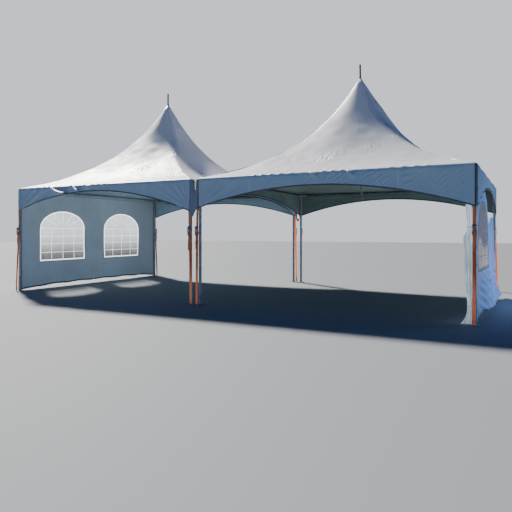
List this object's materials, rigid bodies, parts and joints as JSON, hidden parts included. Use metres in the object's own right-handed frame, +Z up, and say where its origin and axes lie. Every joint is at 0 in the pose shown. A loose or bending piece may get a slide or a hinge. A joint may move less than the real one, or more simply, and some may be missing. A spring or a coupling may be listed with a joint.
{
  "type": "marquee tent",
  "caption": "Pair of square high-peak frame tents joined by a rain gutter, with arched valances, window side wall, slack side wall, tube frame and ratchet straps",
  "frame": {"origin": "on the ground, at the middle of the pair", "axes": "+X along the pair, from the bay with the full side wall to the bay with the slack one; +Y from the open front to the back; +Z up"},
  "size_m": [10.2687, 5.121, 4.98],
  "materials": {
    "roof_vinyl": "white coated vinyl, satin, dark block-out underside",
    "wall_vinyl": "white coated vinyl, satin, softly creased",
    "clear_vinyl": "clear film, slightly hazy",
    "frame_tube": "mill finish, dull",
    "corner_casting": "cast, slightly rough",
    "king_pole": "black, satin",
    "steel_cable": "galvanised wire rope",
    "stake_steel": "worn steel with some rust",
    "orange_webbing": "woven polyester webbing"
  },
  "bodies": {
    "root": {"leg_left_front_outer": "frame_tube", "leg_left_front_inner": "frame_tube", "leg_left_back_outer": "frame_tube", "leg_left_back_inner": "frame_tube", "leg_right_front_outer": "frame_tube", "leg_right_front_inner": "frame_tube", "leg_right_back_outer": "frame_tube", "leg_right_back_inner": "frame_tube", "corner_fitting_left_front_outer": "corner_casting", "corner_fitting_left_front_inner": "corner_casting", "corner_fitting_left_back_outer": "corner_casting", "corner_fitting_left_back_inner": "corner_casting", "corner_fitting_right_front_outer": "corner_casting", "corner_fitting_right_front_inner": "corner_casting", "corner_fitting_right_back_outer": "corner_casting", "corner_fitting_right_back_inner": "corner_casting", "eave_tube_left_front": "frame_tube", "eave_tube_left_back": "frame_tube", "eave_tube_left_outer": "frame_tube", "eave_tube_left_inner": "frame_tube", "eave_tube_right_front": "frame_tube", "eave_tube_right_back": "frame_tube", "eave_tube_right_outer": "frame_tube", "eave_tube_right_inner": "frame_tube", "king_pole_left": "king_pole", "cross_cables_left": "steel_cable", "king_pole_right": "king_pole", "cross_cables_right": "steel_cable", "roof_panel_left_front": "roof_vinyl", "roof_panel_left_back": "roof_vinyl", "roof_panel_left_outer": "roof_vinyl", "roof_panel_left_inner": "roof_vinyl", "roof_panel_right_front": "roof_vinyl", "roof_panel_right_back": "roof_vinyl", "roof_panel_right_outer": "roof_vinyl", "roof_panel_right_inner": "roof_vinyl", "rain_gutter": "roof_vinyl", "side_wall_left": "wall_vinyl", "window_left_front": "clear_vinyl", "window_left_back": "clear_vinyl", "side_wall_right": "wall_vinyl", "window_right_front": "clear_vinyl", "wall_bunch_right": "wall_vinyl", "ratchet_strap_left_front_outer": "orange_webbing", "ratchet_strap_left_front_inner": "orange_webbing", "ratchet_strap_left_back_outer": "orange_webbing", "ratchet_strap_left_back_inner": "orange_webbing", "ratchet_strap_right_front_outer": "orange_webbing", "ratchet_strap_right_front_inner": "orange_webbing", "ratchet_strap_right_back_outer": "orange_webbing", "ratchet_strap_right_back_inner": "orange_webbing", "stake_left_front_outer": "stake_steel", "stake_left_front_inner": "stake_steel", "stake_left_back_outer": "stake_steel", "stake_left_back_inner": "stake_steel", "stake_right_front_outer": "stake_steel", "stake_right_front_inner": "stake_steel", "stake_right_back_outer": "stake_steel", "stake_right_back_inner": "stake_steel"}
  },
  "joints": []
}
